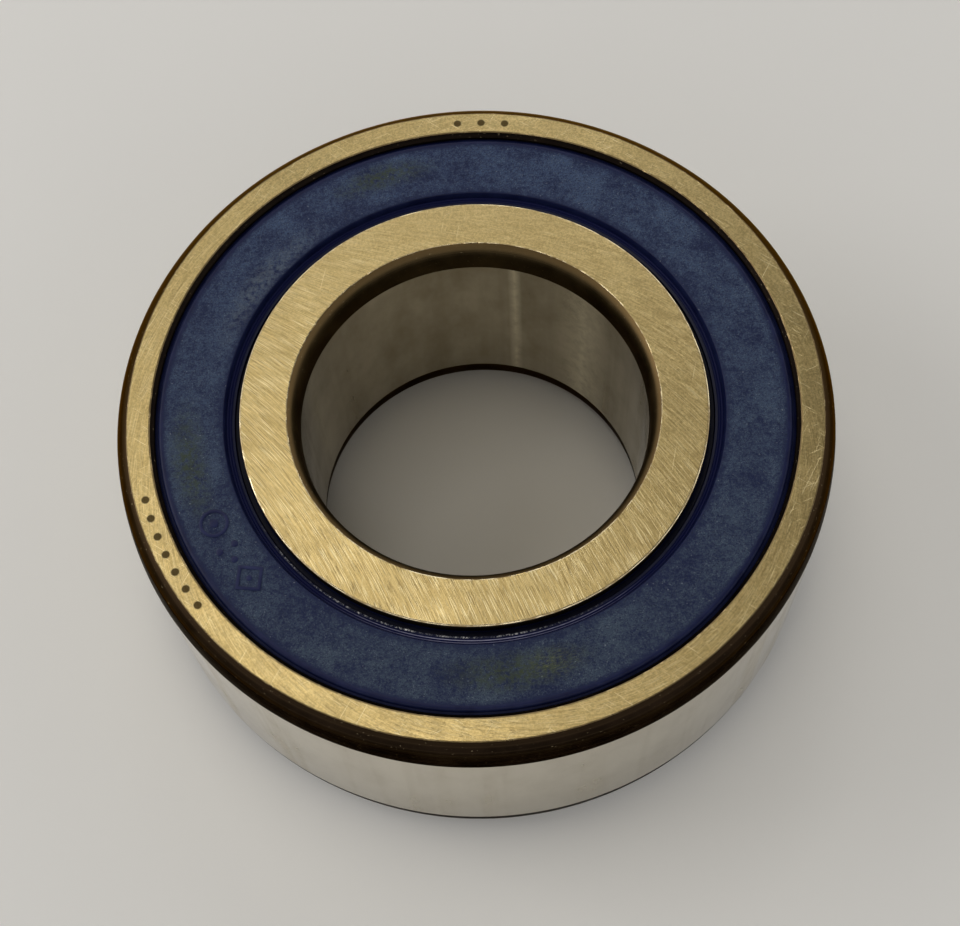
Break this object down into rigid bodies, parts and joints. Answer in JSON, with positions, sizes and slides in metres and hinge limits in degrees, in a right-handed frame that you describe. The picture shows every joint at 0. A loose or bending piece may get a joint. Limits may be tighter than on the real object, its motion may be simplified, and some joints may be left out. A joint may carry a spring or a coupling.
{
  "type": "angular contact ball bearing",
  "caption": "Sealed double-row angular contact ball bearing that carries a turning shaft in a housing, with radial and axial load both ways.",
  "frame": {"origin": "centre of the bearing, on its axis and midway between its faces", "axes": "+Z along the bearing's axis; the bearing is the same at both ends apart from half a ball step between the rows"},
  "size_m": [0.072, 0.072, 0.027],
  "materials": {
    "ring_steel": "ground faces, honed bore and outside, dark turned corners",
    "ball_steel": "polished",
    "seal_rubber": "matt, with a trace of grease",
    "insert_steel": "cold-rolled sheet",
    "cage_plastic": "moulded nylon"
  },
  "bodies": {
    "outer": {"outer_ring": "ring_steel", "seal_rubber_upper": "seal_rubber", "seal_rubber_lower": "seal_rubber", "seal_insert_upper": "insert_steel", "seal_insert_lower": "insert_steel"},
    "inner": {"inner_ring": "ring_steel"},
    "upper_cage": {"cage_upper": "cage_plastic"},
    "lower_cage": {"cage_lower": "cage_plastic"},
    "upper_ball_01": {"ball_upper_01": "ball_steel"},
    "upper_ball_02": {"ball_upper_02": "ball_steel"},
    "upper_ball_03": {"ball_upper_03": "ball_steel"},
    "upper_ball_04": {"ball_upper_04": "ball_steel"},
    "upper_ball_05": {"ball_upper_05": "ball_steel"},
    "upper_ball_06": {"ball_upper_06": "ball_steel"},
    "upper_ball_07": {"ball_upper_07": "ball_steel"},
    "upper_ball_08": {"ball_upper_08": "ball_steel"},
    "upper_ball_09": {"ball_upper_09": "ball_steel"},
    "upper_ball_10": {"ball_upper_10": "ball_steel"},
    "lower_ball_01": {"ball_lower_01": "ball_steel"},
    "lower_ball_02": {"ball_lower_02": "ball_steel"},
    "lower_ball_03": {"ball_lower_03": "ball_steel"},
    "lower_ball_04": {"ball_lower_04": "ball_steel"},
    "lower_ball_05": {"ball_lower_05": "ball_steel"},
    "lower_ball_06": {"ball_lower_06": "ball_steel"},
    "lower_ball_07": {"ball_lower_07": "ball_steel"},
    "lower_ball_08": {"ball_lower_08": "ball_steel"},
    "lower_ball_09": {"ball_lower_09": "ball_steel"},
    "lower_ball_10": {"ball_lower_10": "ball_steel"}
  },
  "joints": [
    {"name": "inner_spin", "type": "hinge", "parent": "outer", "child": "inner", "pos_m": [0, 0, 0], "axis": [0, 0, 1], "continuous": true},
    {"name": "upper_cage_spin", "type": "hinge", "parent": "outer", "child": "upper_cage", "pos_m": [0, 0, 0], "axis": [0, 0, 1], "continuous": true},
    {"name": "lower_cage_spin", "type": "hinge", "parent": "outer", "child": "lower_cage", "pos_m": [0, 0, 0], "axis": [0, 0, 1], "continuous": true},
    {"name": "upper_ball_01_spin", "type": "hinge", "parent": "upper_cage", "child": "upper_ball_01", "pos_m": [0.02675, 0, 0.00514], "axis": [0.5, 0, 0.866], "continuous": true},
    {"name": "upper_ball_02_spin", "type": "hinge", "parent": "upper_cage", "child": "upper_ball_02", "pos_m": [0.02164, 0.01572, 0.00514], "axis": [0.4045, 0.2939, 0.866], "continuous": true},
    {"name": "upper_ball_03_spin", "type": "hinge", "parent": "upper_cage", "child": "upper_ball_03", "pos_m": [0.00827, 0.02544, 0.00514], "axis": [0.1545, 0.4755, 0.866], "continuous": true},
    {"name": "upper_ball_04_spin", "type": "hinge", "parent": "upper_cage", "child": "upper_ball_04", "pos_m": [-0.00827, 0.02544, 0.00514], "axis": [-0.1545, 0.4755, 0.866], "continuous": true},
    {"name": "upper_ball_05_spin", "type": "hinge", "parent": "upper_cage", "child": "upper_ball_05", "pos_m": [-0.02164, 0.01572, 0.00514], "axis": [-0.4045, 0.2939, 0.866], "continuous": true},
    {"name": "upper_ball_06_spin", "type": "hinge", "parent": "upper_cage", "child": "upper_ball_06", "pos_m": [-0.02675, 0, 0.00514], "axis": [-0.5, 0, 0.866], "continuous": true},
    {"name": "upper_ball_07_spin", "type": "hinge", "parent": "upper_cage", "child": "upper_ball_07", "pos_m": [-0.02164, -0.01572, 0.00514], "axis": [-0.4045, -0.2939, 0.866], "continuous": true},
    {"name": "upper_ball_08_spin", "type": "hinge", "parent": "upper_cage", "child": "upper_ball_08", "pos_m": [-0.00827, -0.02544, 0.00514], "axis": [-0.1545, -0.4755, 0.866], "continuous": true},
    {"name": "upper_ball_09_spin", "type": "hinge", "parent": "upper_cage", "child": "upper_ball_09", "pos_m": [0.00827, -0.02544, 0.00514], "axis": [0.1545, -0.4755, 0.866], "continuous": true},
    {"name": "upper_ball_10_spin", "type": "hinge", "parent": "upper_cage", "child": "upper_ball_10", "pos_m": [0.02164, -0.01572, 0.00514], "axis": [0.4045, -0.2939, 0.866], "continuous": true},
    {"name": "lower_ball_01_spin", "type": "hinge", "parent": "lower_cage", "child": "lower_ball_01", "pos_m": [0.02544, 0.00827, -0.00514], "axis": [-0.4755, -0.1545, 0.866], "continuous": true},
    {"name": "lower_ball_02_spin", "type": "hinge", "parent": "lower_cage", "child": "lower_ball_02", "pos_m": [0.01572, 0.02164, -0.00514], "axis": [-0.2939, -0.4045, 0.866], "continuous": true},
    {"name": "lower_ball_03_spin", "type": "hinge", "parent": "lower_cage", "child": "lower_ball_03", "pos_m": [0, 0.02675, -0.00514], "axis": [0, -0.5, 0.866], "continuous": true},
    {"name": "lower_ball_04_spin", "type": "hinge", "parent": "lower_cage", "child": "lower_ball_04", "pos_m": [-0.01572, 0.02164, -0.00514], "axis": [0.2939, -0.4045, 0.866], "continuous": true},
    {"name": "lower_ball_05_spin", "type": "hinge", "parent": "lower_cage", "child": "lower_ball_05", "pos_m": [-0.02544, 0.00827, -0.00514], "axis": [0.4755, -0.1545, 0.866], "continuous": true},
    {"name": "lower_ball_06_spin", "type": "hinge", "parent": "lower_cage", "child": "lower_ball_06", "pos_m": [-0.02544, -0.00827, -0.00514], "axis": [0.4755, 0.1545, 0.866], "continuous": true},
    {"name": "lower_ball_07_spin", "type": "hinge", "parent": "lower_cage", "child": "lower_ball_07", "pos_m": [-0.01572, -0.02164, -0.00514], "axis": [0.2939, 0.4045, 0.866], "continuous": true},
    {"name": "lower_ball_08_spin", "type": "hinge", "parent": "lower_cage", "child": "lower_ball_08", "pos_m": [0, -0.02675, -0.00514], "axis": [0, 0.5, 0.866], "continuous": true},
    {"name": "lower_ball_09_spin", "type": "hinge", "parent": "lower_cage", "child": "lower_ball_09", "pos_m": [0.01572, -0.02164, -0.00514], "axis": [-0.2939, 0.4045, 0.866], "continuous": true},
    {"name": "lower_ball_10_spin", "type": "hinge", "parent": "lower_cage", "child": "lower_ball_10", "pos_m": [0.02544, -0.00827, -0.00514], "axis": [-0.4755, 0.1545, 0.866], "continuous": true}
  ],
  "couplings": [
    {"joint": "upper_cage_spin", "follows": "inner_spin", "ratio": 0.42291},
    {"joint": "lower_cage_spin", "follows": "inner_spin", "ratio": 0.42291},
    {"joint": "upper_ball_01_spin", "follows": "inner_spin", "ratio": -2.7416},
    {"joint": "upper_ball_02_spin", "follows": "inner_spin", "ratio": -2.7416},
    {"joint": "upper_ball_03_spin", "follows": "inner_spin", "ratio": -2.7416},
    {"joint": "upper_ball_04_spin", "follows": "inner_spin", "ratio": -2.7416},
    {"joint": "upper_ball_05_spin", "follows": "inner_spin", "ratio": -2.7416},
    {"joint": "upper_ball_06_spin", "follows": "inner_spin", "ratio": -2.7416},
    {"joint": "upper_ball_07_spin", "follows": "inner_spin", "ratio": -2.7416},
    {"joint": "upper_ball_08_spin", "follows": "inner_spin", "ratio": -2.7416},
    {"joint": "upper_ball_09_spin", "follows": "inner_spin", "ratio": -2.7416},
    {"joint": "upper_ball_10_spin", "follows": "inner_spin", "ratio": -2.7416},
    {"joint": "lower_ball_01_spin", "follows": "inner_spin", "ratio": -2.7416},
    {"joint": "lower_ball_02_spin", "follows": "inner_spin", "ratio": -2.7416},
    {"joint": "lower_ball_03_spin", "follows": "inner_spin", "ratio": -2.7416},
    {"joint": "lower_ball_04_spin", "follows": "inner_spin", "ratio": -2.7416},
    {"joint": "lower_ball_05_spin", "follows": "inner_spin", "ratio": -2.7416},
    {"joint": "lower_ball_06_spin", "follows": "inner_spin", "ratio": -2.7416},
    {"joint": "lower_ball_07_spin", "follows": "inner_spin", "ratio": -2.7416},
    {"joint": "lower_ball_08_spin", "follows": "inner_spin", "ratio": -2.7416},
    {"joint": "lower_ball_09_spin", "follows": "inner_spin", "ratio": -2.7416},
    {"joint": "lower_ball_10_spin", "follows": "inner_spin", "ratio": -2.7416}
  ]
}
